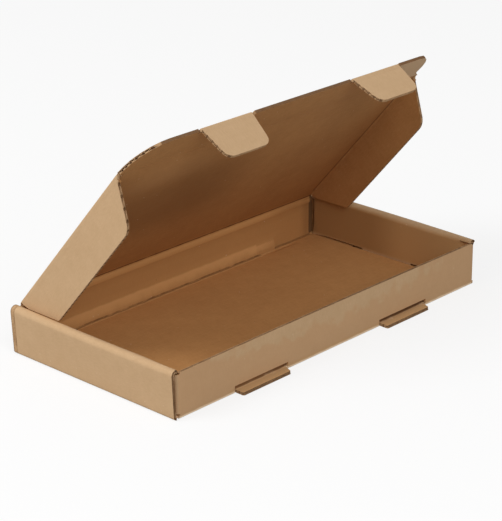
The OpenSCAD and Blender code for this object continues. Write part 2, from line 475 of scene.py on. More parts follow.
@dataclass(frozen=True)
class RawEdge:
    """The cut edge of the board: the ends of its flutes get painted shade as dark holes, between lighter
    ribs of medium.
    """

    name: str = "raw_edge"
    tone: Triple = (212, 175, 133)
    dark: Triple = (156, 118, 82)
    # The painted shade of the open flute ends.
    hole_shade: Triple = (108, 74, 47)
    tear_scale: float = 900.0
    blotch_scale: float = 210.0
    tear_height: float = 0.00006

    def build(self) -> bpy.types.Material:
        """Makes the material.

        Returns:
            The material.
        """
        sheet = NodeSheet(self.name)
        place = sheet.place()
        torn = sheet.noise(place, self.tear_scale, 4.0, 0.7)
        blotch = sheet.noise(place, self.blotch_scale, 2.0)
        base = sheet.mix((torn - 0.5) * 1.6 + blotch, colour(*self.dark), colour(*self.tone))
        _, across, _ = sheet.split(sheet.node("ShaderNodeUVMap", {"uv_map": "blank"}))
        # Painted shade in the open flute ends, in stripes across the flutes.
        flute = (across * FLUTE_TURN + (blotch - 0.5) * 2.0).sine()
        base = sheet.mix(flute.ramp(0.4, 0.85) * 0.8, base, colour(*self.hole_shade))
        shader = sheet.node("ShaderNodeBsdfPrincipled", inputs={
            "Base Color": base, "Roughness": 0.9, "Normal": sheet.bump(torn, self.tear_height),
            "Specular IOR Level": 0.15,
        })
        return sheet.finish(shader)


@dataclass(frozen=True)
class StudioFloor:
    """The pale floor, white to the camera and less bright to the light that bounces off it.

    It stays plain under the tray, so that no white shows through the slots.
    """

    name: str = "studio_floor"
    paint: Triple = (185, 184, 182)
    white: float = 0.78
    under_x: float = 107.5 * MM
    under_y: float = 53.0 * MM
    rim: float = 0.5 * MM

    def build(self) -> bpy.types.Material:
        """Makes the material.

        Returns:
            The material.
        """
        sheet = NodeSheet(self.name)
        rays = sheet.node("ShaderNodeLightPath")
        outputs = rays.socket.node.outputs
        x, y, _ = sheet.split(sheet.place())
        beside = abs(x).ramp(self.under_x, self.under_x + self.rim)
        before = abs(y).ramp(self.under_y, self.under_y + self.rim)
        open_floor = 1.0 - (1.0 - beside) * (1.0 - before)
        seen = (Wire(sheet, outputs["Is Camera Ray"]) + Wire(sheet, outputs["Is Glossy Ray"])) * open_floor
        base = sheet.mix(seen, colour(*self.paint), WHITE)
        paint = sheet.node("ShaderNodeBsdfDiffuse", inputs={"Color": base})
        glow = sheet.node("ShaderNodeEmission", inputs={"Color": WHITE, "Strength": 1.0})
        both = sheet.node("ShaderNodeMixShader", inputs={0: seen * self.white, 1: paint, 2: glow})
        return sheet.finish(both)


# Marks on the back wall inside: a darker tone, and painted light and shade along its creases and at its
# corner.
BACK_WALL_MARKS = (
    # The wall itself, a little darker than the floor.
    Mark((-106, 52.4, 2.0), (106, 54, 24), (1, 0.3, 0.5), (190, 138, 84), 0.6),
    # The band at its foot, a buckled fold that faces up, painted lighter as painted light; it fades out to
    # the right.
    Mark((-106, 51.9, 1.6), (60, 54, 8.4), (1, 1, 1.0), (216, 163, 105), 0.8),
    Mark((52, 51.9, 3.2), (82, 54, 7.6), (6, 1, 1.2), (216, 163, 105), 0.8, (20, 1, 1.2)),
    # A lighter band under the lid's crease, and the crease's painted shade as a dark line.
    Mark((-106, 52, 19.9), (88, 55, 23.9), (24, 1, 0.8), (212, 158, 99), 0.75),
    Mark((-106, 52.4, 24.0), (104, 55, 25.8), (1, 0.6, 0.5), (92, 56, 28), 0.8),
    # Painted shade in the crease at its foot as a dark line, and a painted highlight on the floor's lip
    # before it.
    Mark((-106, 50.9, 1.0), (64, 52.5, 2.3), (4, 0.4, 0.3), (84, 52, 26), 0.65),
    Mark((-106, 50.0, 1.0), (64, 50.9, 2.3), (4, 0.3, 0.3), (224, 172, 114), 0.5),
    Mark((70, 52.5, 1.0), (105, 54, 2.5), (3, 0.4, 0.4), (84, 52, 26), 0.4),
    # The shade of the right corner and its open gap.
    Mark((94, 53.0, 1), (107, 55, 24), (9, 0.3, 1), (120, 78, 44), 0.5),
    Mark((102.3, 52, 2), (107, 56, 24.6), (0.9, 0.4, 0.5), (48, 30, 16), 0.7),
)
# Marks of the tray on both liners: its tones, painted light and painted shade.
TRAY_MARKS = (
    # The right inner side panel, painted in the warm colour that bounce light off the kraft gives it, with
    # painted shade over its back half.
    Mark((105, -53.4, 1.0), (108, 54, 24.8), (0.1, 0.1, 2.8), (200, 155, 102), 0.9),
    Mark((105, -14, 1.0), (108, 54, 24.8), (0.1, 28, 2.8), (166, 124, 78), 0.85, (0.1, 0.1, 2.8)),
    # The tongues, and the shade of their slots.
    Mark((-75, -61, -1), (75, -53.4, 3), (1, 0.4, 1), (204, 166, 120), 0.8),
    Mark((-75, -54.3, 0.5), (75, -50.0, 3), (1, 0.5, 0.4), (84, 52, 28), 0.75),
    # The front wall's tone, and painted light on its bottom fold, which faces down into shade.
    Mark((-109, -56, 1.0), (110, -54.6, 23.2), (0.4, 0.2, 0.4), (200, 153, 110), 0.45),
    Mark((-108, -56, -1), (109, -52.4, 1.5), (1, 0.3, 0.7), (252, 224, 188), 0.9),
)
# Painted light and shade on the lid and its flaps inside.
LID_MARKS = (
    # The left side flap's painted shadow over the lid's left middle, and a faint painted reflection at its
    # upper left.
    Mark((-125, -30, 40), (20, 45, 104), (42, 12, 26), (128, 84, 46), 0.55),
    Mark((-104, -30, 84), (-20, 10, 108), (34, 8, 10), (200, 152, 104), 0.2),
    # Painted light on the right ear.
    Mark((66, -60, 107.4), (115, -18.6, 130), (8, 0.8, 1), (228, 198, 160), 0.8),
    # The painted shade of the right side flap's crease, as a dark line.
    Mark((101.0, -40, 28), (103.0, 60, 107), (0.7, 1, 1), (108, 68, 36), 0.6),
)


class Wardrobe:
    """The box's finishes, made once and shared by all panels. The tray has its own liners: a lighter copy of
    the inner one as painted light, and its marks of tone, painted light and painted shade.
    """

    OUTER = ((215, 181, 141), (193, 157, 117))
    INNER = ((197, 146, 92), (164, 114, 66))
    # The tray's inner liner is a copy of the lid's in a lighter tone: painted light, for the difference of
    # light between them.
    TRAY_INNER = ((208, 156, 99), (178, 126, 75))

    def __init__(self) -> None:
        """Builds the finishes."""
        self.raw = RawEdge().build()
        self.outer = KraftLiner("kraft_outer", *self.OUTER).build()
        self.inner = KraftLiner("kraft_inner", *self.INNER, rib=0.02, cloud=0.6, marks=LID_MARKS).build()
        self.tray_outer = KraftLiner("kraft_outer_tray", *self.OUTER, marks=TRAY_MARKS).build()
        inside = TRAY_MARKS + BACK_WALL_MARKS
        self.tray_inner = KraftLiner("kraft_inner_tray", *self.TRAY_INNER, rib=0.02, marks=inside).build()

    def dress(self, piece: bpy.types.Object, of_tray: bool = False) -> None:
        """Gives a piece the three slots, in the order of Liner.

        Args:
            piece: The piece.
            of_tray: Whether it takes the tray's liners.
        """
        piece.data.materials.clear()
        liners = (self.tray_outer, self.tray_inner) if of_tray else (self.outer, self.inner)
        for material in (*liners, self.raw):
            piece.data.materials.append(material)


@dataclass(frozen=True)
class Panel:
    """A flat panel that turns on a crease.

    Its origin is a point on the crease, its way leads into the panel, and inside is its inner normal.
    """

    origin: Vector
    way: Vector
    inside: Vector

    # The round edge beside the crease, which has no raw side, and how exactly the flat faces lie.
    ROUND_EDGE = 0.2 * MM
    FLAT = 0.02 * MM

    @property
    def along(self) -> Vector:
        """The way along the crease."""
        return self.way.cross(self.inside)

    def local(self, point: Vector) -> tuple[float, float, float]:
        """A point as its place along the crease, its distance from it and its height to the inside."""
        offset = point - self.origin
        return offset.dot(self.along), offset.dot(self.way), offset.dot(self.inside)

    def face(self, centre: Vector, normal: Vector) -> Liner:
        """Which face of the board a polygon of this panel belongs to.

        Args:
            centre: The polygon's middle.
            normal: Its normal.

        Returns:
            Outer or inner liner, or raw edge.
        """
        _, distance, height = self.local(centre)
        if distance < HALF_BOARD + self.ROUND_EDGE:
            return Liner.INNER if height > 0 else Liner.OUTER
        facing = normal.dot(self.inside)
        if abs(height) > HALF_BOARD - self.FLAT and abs(facing) > FACING:
            return Liner.INNER if facing > 0 else Liner.OUTER
        return Liner.RAW


def eased(value: float, begin: float, whole: float) -> float:
    """0 up to where it begins, 1 from where it is whole, and a smooth step between."""
    share = min(max((value - begin) / (whole - begin), 0.0), 1.0)
    return share * share * (3.0 - 2.0 * share)


@dataclass(frozen=True)
class OpenLid:
    """How the lid stands open, and what use has done to its panels. Angles in radians, lengths in metres.

    A pair says where a move begins and where it is whole.
    """

    hinge: Vector
    angle: float
    length: float
    half_width: float
    flap: float
    bow: float = 0.8 * MM
    bow_power: float = 1.5
    dip: float = 2.2 * MM
    dip_out: tuple[float, float] = (1.0 * MM, 4.0 * MM)
    dip_up: tuple[float, float] = (1.0 * MM, 16.0 * MM)
    ear_wear: float = 6.0 * MM
    ear_x: tuple[float, float] = (80.0 * MM, 110.0 * MM)
    ear_out: tuple[float, float] = (0.0, 4.0 * MM)
    root: float = 1.5 * MM
    root_cut: float = 0.65 * MM
    tab_growth: float = 1.7 * MM
    tab_x: tuple[float, float] = (58.0 * MM, 72.0 * MM)

    @property
    def way(self) -> Vector:
        """The way from the hinge to the lid's front edge."""
        return Vector((0.0, -math.cos(self.angle), math.sin(self.angle)))

    @property
    def inside(self) -> Vector:
        """The lid's inner normal."""
        return Vector((0.0, -math.sin(self.angle), -math.cos(self.angle)))

    def _mid_share(self, x: float) -> float:
        """1 in the middle of the lid's width, 0 at its side creases."""
        return max(1.0 - (x / self.half_width) ** 2, 0.0)

    def bowed(self, point: Vector) -> Vector:
        """Where the lid's bow takes a point. The front flap shares it, but its free edge stays straight.

        Args:
            point: A point of the lid, of its front flap or of a tab.

        Returns:
            Its place after the bow.
        """
        distance = (point - self.hinge).dot(self.way)
        reach = min(max(distance / self.length, 0.0), 1.0) ** self.bow_power
        beyond = min(max((distance - self.length) / self.flap, 0.0), 1.0)
        return point + self.inside * (self.bow * self._mid_share(point.x) * (reach - beyond))

    def dipped(self, point: Vector) -> Vector:
        """Where a point of a side flap goes, whose back end hangs a little way down past the tray's ridge.

        Args:
            point: A point of the side flap.

        Returns:
            Its place.
        """
        out = (point - self.hinge).dot(self.inside)
        share = eased(out, *self.dip_out) * (1.0 - eased(point.z - self.hinge.z, *self.dip_up))
        return point - self.way * (self.dip * share)

    def worn_ear(self, point: Vector) -> Vector:
        """Where a point of the front flap goes, whose right ear is worn shorter than its left one.

        The flap's root is cut back where the bow would press it into the lid.

        Args:
            point: A point of the front flap.

        Returns:
            Its place.
        """
        beyond = (point - self.hinge).dot(self.way) - self.length
        share = eased(point.x, *self.ear_x) * eased(beyond, *self.ear_out)
        if beyond < self.root:
            point = point + self.way * (self.root_cut * self._mid_share(point.x))
        return self.bowed(point - Vector((self.ear_wear * share, 0.0, 0.0)))

    def wide_tab(self, point: Vector) -> Vector:
        """Where a point of the right tuck tab goes, whose outer end is a little longer."""
        share = eased(point.x, *self.tab_x)
        return self.bowed(point + Vector((self.tab_growth * share, 0.0, 0.0)))


@dataclass(frozen=True)
class Shift:
    """A move that use has made in the tray: the points inside a box go one way. Sizes are millimetres.

    Each fade names an axis and the places on it where the move begins and where it is whole.
    """

    low: Triple
    high: Triple
    way: Triple
    fades: tuple[tuple[int, float, float], ...] = ()
    both_sides: bool = False
    last: bool = False

    def holds(self, point: Vector) -> bool:
        """Whether a point, or its mirror image where both sides count, lies inside the box."""
        place = (abs(point.x) if self.both_sides else point.x, point.y, point.z)
        return all(low * MM < value < high * MM for value, low, high in zip(place, self.low, self.high))

    def amount(self, point: Vector) -> Vector:
        """How far a point inside the box goes.

        Args:
            point: The point.

        Returns:
            The way that it goes, in metres.
        """
        share = MM
        for axis, begin, whole in self.fades:
            share *= eased(point[axis], begin * MM, whole * MM)
        return Vector(self.way) * share


X_AXIS, Y_AXIS, Z_AXIS = 0, 1, 2
# Where the floor's pressed line before the back wall begins, is deepest and ends.
GROOVE_Y = (50.6, 51.5, 52.25)
# Where the open gap at the back wall's right end begins.
GAP_X = 102.6
FRONT_END = ((Z_AXIS, 24, 21),)
TRAY_SHIFTS = (
    # The inner side panels' feet, lifted off the floor towards the front.
    Shift((105.25, -53.3, 1.55), (106.85, 53.3, 1.65), (0, 0, 0.75), ((Y_AXIS, 53, 41),), True, True),
    # The right inner panel's back end, pulled away from the back wall.
    Shift((105.25, -53.3, 1.65), (106.85, 53.3, 22.3), (0, -1.2, 0), ((Y_AXIS, 44, 53), (Z_AXIS, 2, 6))),
    # The pressed line in the floor.
    Shift((-105.3, GROOVE_Y[1] - 0.05, 1.45), (90, GROOVE_Y[1] + 0.05, 1.55), (0, 0, -0.9), last=True),
    # The open gap at the back wall's right end, and the fold's lower end beside it.
    Shift((GAP_X, 53.4, 2.0), (106.6, 53.6, 22.9), (0, 1.0, 0), last=True),
    Shift((106.4, 52, 2.25), (112, 56, 2.35), (0, 0, -1.9), last=True),
    # The front wall's ends, stretched to the right over the side wall's end and drawn in at the left.
    Shift((99, -61, -1), (106.6, -53, 2.2), (3.3, 0, 0), ((X_AXIS, 99, 106.5),)),
    Shift((99, -61, 2.2), (108.45, -53, 23), (1.9, 0, 0), ((X_AXIS, 99, 108),)),
    Shift((-108.45, -61, 2.2), (-103, -53, 23), (1.0, 0, 0), ((X_AXIS, -103, -108),)),
    # The right outer side panel's front end, which stands back behind the front wall.
    Shift((108.45, -61, -1), (115, -54, 26), (0, 1.9, 0), FRONT_END),
    Shift((107, -61, -1), (108.45, -54, 2.2), (0, 1.9, 0), FRONT_END),
)
# The notches at the front wall's top ends, which the roll hides, are filled up to one height.
NOTCH = Shift((104.8, -56, 21.5), (106.6, -53.4, 22.0), (0, 0, 0), both_sides=True)
NOTCH_TOP = 22.75


@dataclass(frozen=True)
class TrayShape:
    """The tray's outside sizes, and how use has bent its walls.

    A pair says where a move begins and where it is whole.
    """

    half_width: float = 110 * MM
    half_depth: float = 55 * MM
    height: float = 25 * MM
    wall: float = 4.7 * MM
    bend: float = 1.9 * MM
    roll: float = 2.793 * MM
    lean: float = math.radians(2.5)
    bulge_right: float = 1.5 * MM
    bulge_left: float = 0.8 * MM
    bulge_peak: float = 0.35
    bulge_power: float = 1.5
    bulge_reach: float = 0.6 * MM
    squeeze: float = 0.5
    squeeze_depth: float = 3.6 * MM
    squeeze_y: tuple[float, float] = (-30 * MM, -54 * MM)
    squeeze_z: tuple[float, float] = (8 * MM, 20 * MM)
    under_roll: float = 22 * MM
    press: float = 0.8
    press_reach: float = 2 * MM
    front_wall_y: float = -53 * MM
    front_push: float = 0.6 * MM
    push_z: tuple[float, float] = (6 * MM, 22.8 * MM)
    tongue_top: float = 2.6 * MM
    tongue_middle: float = 52 * MM
    tongue_taper: float = 0.11
    side_gap: float = 0.35 * MM
    fold_inset: float = 3.5 * MM
    fold_top: float = 3.1 * MM
    fold_skin: float = 0.25 * MM
    bend_skin: float = 0.2 * MM
    end_wall_top: float = 2 * MM

    @property
    def edge(self) -> float:
        """Where the side walls begin, from the middle."""
        return self.half_width - self.wall

    def settled(self, point: Vector) -> Vector:
        """Where use has taken a point of the tray.

        Args:
            point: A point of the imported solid.

        Returns:
            Its place.
        """
        x, y, z = point
        moved = point.copy()
        for shift in TRAY_SHIFTS:
            if shift.holds(point):
                moved = moved + shift.amount(point)
                if shift.last:
                    return moved
        if NOTCH.holds(point):
            moved.z = NOTCH_TOP * MM
        moved = moved + self._squeezed(point)
        if z < self.bend and abs(y) > self.half_depth - self.bend and abs(x) < self.edge + self.press_reach:
            moved = self._pressed(moved)
        if y < self.front_wall_y and abs(x) < self.edge:
            share = eased(z, *self.push_z) * (1.0 - (x / self.edge) ** 2)
            moved = moved + Vector((0.0, self.front_push * share, 0.0))
        if y < -self.half_depth - HAIR and z < self.tongue_top:
            past_middle = max(x - math.copysign(self.tongue_middle, x), 0.0)
            return moved - Vector((past_middle * self.tongue_taper, 0.0, 0.0))
        return self.bulged(moved)

    def _squeezed(self, point: Vector) -> Vector:
        """How the inner layers of a rolled wall are pressed outwards near its front end.

        Args:
            point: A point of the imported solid.

        Returns:
            The way that it goes.
        """
        x, y, z = point
        depth = self.half_width - BOARD.thickness - abs(x)
        if not 0 < depth < self.squeeze_depth or (y <= self.squeeze_y[1] and z <= self.under_roll):
            return Vector()
        share = eased(y, *self.squeeze_y) * eased(z, *self.squeeze_z)
        return Vector((math.copysign(self.squeeze * depth * share, x), 0.0, 0.0))

    def _pressed(self, point: Vector) -> Vector:
        """Presses the fold at the foot of the front or back wall from a round bend to a sharp one.

        Args:
            point: A point of the fold.

        Returns:
            Its place.
        """
        hub = Vector((point.x, math.copysign(self.half_depth - self.bend, point.y), self.bend))
        offset = point - hub
        longer = max(abs(offset.y), abs(offset.z))
        if longer < 1e-7:
            return point
        return hub + offset * (1.0 + self.press * (math.hypot(offset.y, offset.z) / longer - 1.0))

    def bulged(self, point: Vector) -> Vector:
        """Where the bulge of a rolled wall takes a point of the tray.

        Args:
            point: The point.

        Returns:
            Its place.
        """
        if self.edge - abs(point.x) > self.bulge_reach:
            return point
        top = max(point.z / self.height, 0.0) ** self.bulge_power
        run = point.y / self.half_depth
        if point.x > 0:
            half = 1.0 - self.bulge_peak if run > self.bulge_peak else 1.0 + self.bulge_peak
            share = max(1.0 - ((run - self.bulge_peak) / half) ** 2, 0.0)
            return point + Vector((self.bulge_right * share * top, 0.0, 0.0))
        share = max(1.0 - run * run, 0.0)
        return point - Vector((self.bulge_left * share * top, 0.0, 0.0))

    def face(self, centre: Vector, normal: Vector) -> Liner:
        """Which face of the board a polygon of the tray belongs to.

        Args:
            centre: The polygon's middle.
            normal: Its normal.

        Returns:
            Outer or inner liner, or raw edge.
        """
        x, y, z = abs(centre.x), abs(centre.y), centre.z
        level = abs(normal.z) > FACING
        upper_or_under = Liner.OUTER if normal.z < 0 else Liner.INNER
        if z < BOARD.thickness + SKIN and level and y < self.half_depth - self.bend:
            return upper_or_under
        if x > self.edge - SKIN and y < self.half_depth - BOARD.thickness - self.side_gap:
            return self._side_wall_face(x, z, normal)
        fold_x = self.half_width - self.fold_inset
        if self.bend < z < self.height - self.fold_top and fold_x < x < fold_x + self.bend + SKIN:
            out = math.hypot(x - fold_x, y - self.half_depth + self.bend)
            return Liner.OUTER if out > self.bend - self.fold_skin else Liner.INNER
        if z <= self.bend and y < self.half_depth - self.bend:
            if abs(normal.z) < FACING:
                return Liner.RAW if z < BOARD.thickness else Liner.INNER
            return upper_or_under
        before_side = x < self.half_width - BOARD.thickness - HAIR
        on_end_wall = before_side and z < self.height - self.end_wall_top
        if x > self.edge - SKIN and not on_end_wall:
            return Liner.RAW
        return self._end_wall_face(y, z, normal)

    def _side_wall_face(self, x: float, z: float, normal: Vector) -> Liner:
        """Which face of the board a polygon of a rolled side wall belongs to.

        Args:
            x: Its distance from the tray's middle.
            z: Its height.
            normal: Its normal.

        Returns:
            Outer liner on the outside of the roll, inner liner inside it, or raw edge.
        """
        roll_x, roll_z = self.edge + self.roll, self.height - self.roll
        if z > roll_z:
            depth = self.roll - math.hypot(x - roll_x, z - roll_z)
        elif x < self.edge + BOARD.thickness + SKIN:
            depth = x - self.edge
        elif z < self.bend and x > self.half_width - self.bend:
            depth = self.bend - math.hypot(x - self.half_width + self.bend, z - self.bend)
        elif x > self.half_width - BOARD.thickness - SKIN:
            foot = self.half_width - self.bend * (1 - math.cos(self.lean))
            depth = foot - x + (z - self.bend) * math.tan(self.lean)
        else:
            return Liner.INNER
        if abs(normal.y) > FACING or SKIN < depth < BOARD.thickness - SKIN:
            return Liner.RAW
        return Liner.OUTER if depth <= SKIN else Liner.INNER

    def _end_wall_face(self, y: float, z: float, normal: Vector) -> Liner:
        """Which face of the board a polygon of the front or back wall, its fold or a tongue belongs to.

        Args:
            y: Its distance from the tray's middle.
            z: Its height.
            normal: Its normal.

        Returns:
            Outer or inner liner, or raw edge.
        """
        level = abs(normal.z) > FACING
        if z < self.bend and y <= self.half_depth + SKIN:
            out = math.hypot(y - self.half_depth + self.bend, z - self.bend)
            return Liner.OUTER if out > self.bend - self.bend_skin else Liner.INNER
        if level and z > self.bend:
            return Liner.RAW
        if y > self.half_depth + SKIN:
            if level and z < SKIN:
                return Liner.OUTER
            return Liner.INNER if level and z > BOARD.thickness - SKIN else Liner.RAW
        if y > self.half_depth - BOARD.thickness + SKIN and abs(normal.y) > FACING:
            return Liner.OUTER if y > self.half_depth - SKIN else Liner.RAW
        return Liner.INNER if abs(normal.y) > LEANING else Liner.RAW


@dataclass(frozen=True)
class BoardPiece:
    """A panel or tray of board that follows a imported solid: cut finely enough to bend, bent and dressed.

    Its node names the solid and the body. The face gives the side of the board that a polygon belongs to,
    from its middle and normal, and the blank gives metres along and across the flutes, from a point and its
    polygon's normal. Bent says where a point goes. Each cut is a point, normal, step and count of planes.
    """

    node: str
    face: Callable[[Vector, Vector], Liner]
    blank: Callable[[Vector, Vector], tuple[float, float]]
    bent: Callable[[Vector], Vector]
    cuts: Sequence[tuple[Vector, Vector, float, int]]

    # Points closer than this are one, and faces that meet flatter than this are one.
    SAME_POINT = 0.002 * MM
    SAME_PLANE = math.radians(0.2)
    # A raw face runs along the flutes when its width is less than this share of its length.
    NARROW = 0.35

    def make(self, wardrobe: Wardrobe) -> None:
        """Makes the piece, lets it ride on its body and hides the solid that it follows.

        Args:
            wardrobe: The finishes.
        """
        piece = bpy.data.objects.new(f"{self.node}_board", frame["nodes"][self.node].data.copy())
        bpy.context.scene.collection.objects.link(piece)
        Bench.open_up(piece)
        bpy.ops.mesh.customdata_custom_splitnormals_clear()
        bpy.ops.mesh.remove_doubles(threshold=self.SAME_POINT)
        bpy.ops.mesh.dissolve_limited(angle_limit=self.SAME_PLANE)
        Bench.close()
        for point, normal, step, count in self.cuts:
            Bench.cut(piece, point, normal, step, count)
        wardrobe.dress(piece, self.node == "tray")
        self._sort_faces(piece.data)
        for vertex in piece.data.vertices:
            vertex.co = self.bent(vertex.co)
        Bench.smooth(piece)
        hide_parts(self.node)
        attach(piece, self.node)
        LOG.info("%s: %d faces", piece.name, len(piece.data.polygons))

    def _sort_faces(self, mesh: bpy.types.Mesh) -> None:
        """Gives each polygon its liner and each of its corners its place on the blank.

        A cut along the flutes runs inside one channel: it gets painted shade where it lies open, and is
        light elsewhere.

        Args:
            mesh: The piece's mesh, before it is bent.
        """
        while mesh.uv_layers:
            mesh.uv_layers.remove(mesh.uv_layers[0])
        layer = mesh.uv_layers.new(name="blank")
        for polygon in mesh.polygons:
            polygon.material_index = self.face(polygon.center, polygon.normal).value
            places = [self.blank(mesh.vertices[vertex].co, polygon.normal) for vertex in polygon.vertices]
            along, across = (max(axis) - min(axis) for axis in zip(*places))
            with_flutes = polygon.material_index == Liner.RAW.value and across < self.NARROW * along
            # Cuts along these open channels get the raw edge's painted shade.
            dark = self.node == "front_flap" or self.node == "tray" and abs(polygon.normal.y) > FACING
            channel = BOARD.flute_pitch / 4 * (1 if dark else -1)
            for loop, place in zip(polygon.loop_indices, places):
                layer.data[loop].uv = (place[0], channel) if with_flutes else place


@dataclass(frozen=True)
class Crease:
    """A crease between two panels that turn on it."""

    name: str
    parent_body: str
    child_body: str
    parent: Panel
    child: Panel
    half: float
    bent: Callable[[Vector], Vector]
    lift: float = 0.03 * MM
    reach: float = 2.0 * MM
    fillet: float = 0.45 * MM
    steps: int = 6
    turn_from: float = 0.3 * MM
    smooth: float = 50.0
    rows: int = 24

    def section(self, liner: Liner) -> list[Vector]:
        """The liner's path round the crease, from the parent panel to the child panel.

        Args:
            liner: The side of the board.

        Returns:
            The path's points about the crease: an arc on the outside of the bend, a fillet on its inside.
        """
        sign = 1.0 if liner is Liner.INNER else -1.0
        up_parent, up_child = self.parent.inside * sign, self.child.inside * sign
        radius = HALF_BOARD + self.lift
        shares = [k / self.steps for k in range(self.steps + 1)]
        on_outside = up_parent.dot(self.child.way) <= 0
        inset = 0.0 if on_outside else radius * math.tan(up_parent.angle(up_child) / 2)
        start = self.parent.way * (inset + self.reach) + up_parent * radius
        end = self.child.way * (inset + self.reach) + up_child * radius
        if on_outside:
            arc = [up_parent.slerp(up_child, share) * radius for share in shares]
            return [start, start.lerp(arc[0], 0.5), *arc, end.lerp(arc[-1], 0.5), end]
        first = self.parent.way * (inset + self.fillet) + up_parent * radius
        corner = self.parent.way * inset + up_parent * radius
        last = self.child.way * (inset + self.fillet) + up_child * radius
        curve = [first.lerp(corner, share).lerp(corner.lerp(last, share), share) for share in shares]
        return [start, start.lerp(first, 0.5), *curve, last.lerp(end, 0.5), end]

    def make(self, liner: Liner, wardrobe: Wardrobe) -> None:
        """Makes the liner over one side of the crease, bending from one panel to the other.

        Args:
            liner: The side of the board.
            wardrobe: The finishes.
        """
        path = self.section(liner)
        columns = len(path) - 1
        along = self.parent.along.normalized()
        Bench.clear()
        bpy.ops.mesh.primitive_grid_add(x_subdivisions=columns, y_subdivisions=self.rows, size=1)
        piece = bpy.context.object
        piece.name = piece.data.name = f"{self.name}_{liner.name.lower()}"
        sign = 1.0 if liner is Liner.INNER else -1.0
        for vertex in piece.data.vertices:
            column = round((vertex.co.x + 0.5) * columns)
            vertex.co = self.parent.origin + path[column] + along * (vertex.co.y * 2 * self.half)
        wardrobe.dress(piece, self.parent_body == "tray")
        if piece.data.polygons[0].normal.dot(self.parent.inside * sign) < 0:
            Bench.open_up(piece)
            bpy.ops.mesh.flip_normals()
            Bench.close()
        layer = piece.data.uv_layers[0]
        layer.name = "blank"
        for polygon in piece.data.polygons:
            polygon.material_index = liner.value
            for loop in polygon.loop_indices:
                point = piece.data.vertices[piece.data.loops[loop].vertex_index].co
                layer.data[loop].uv = self.place_on_blank(point)
        Bench.apply(piece, "SOLIDIFY", thickness=BOARD.liner, offset=-1.0)
        for vertex in piece.data.vertices:
            vertex.co = self.bent(vertex.co)
        Bench.smooth(piece, self.smooth)
        near = self.turn_from
        self.parent.origin + self.parent.way * near
        self.parent.origin + self.child.way * near
        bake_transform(piece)
        LOG.info("%s: %d faces", piece.name, len(piece.data.polygons))

    def place_on_blank(self, point: Vector) -> tuple[float, float]:
        """A point's place on the blank, whose flutes run along X.

        Args:
            point: A point of the crease.

        Returns:
            Metres along and across the flutes.
        """
        offset = point - self.parent.origin
        if abs(self.parent.along.x) > FACING:
            return point.x, offset.dot(self.child.way - self.parent.way)
        return offset.dot(self.child.way), offset.dot(self.parent.along)


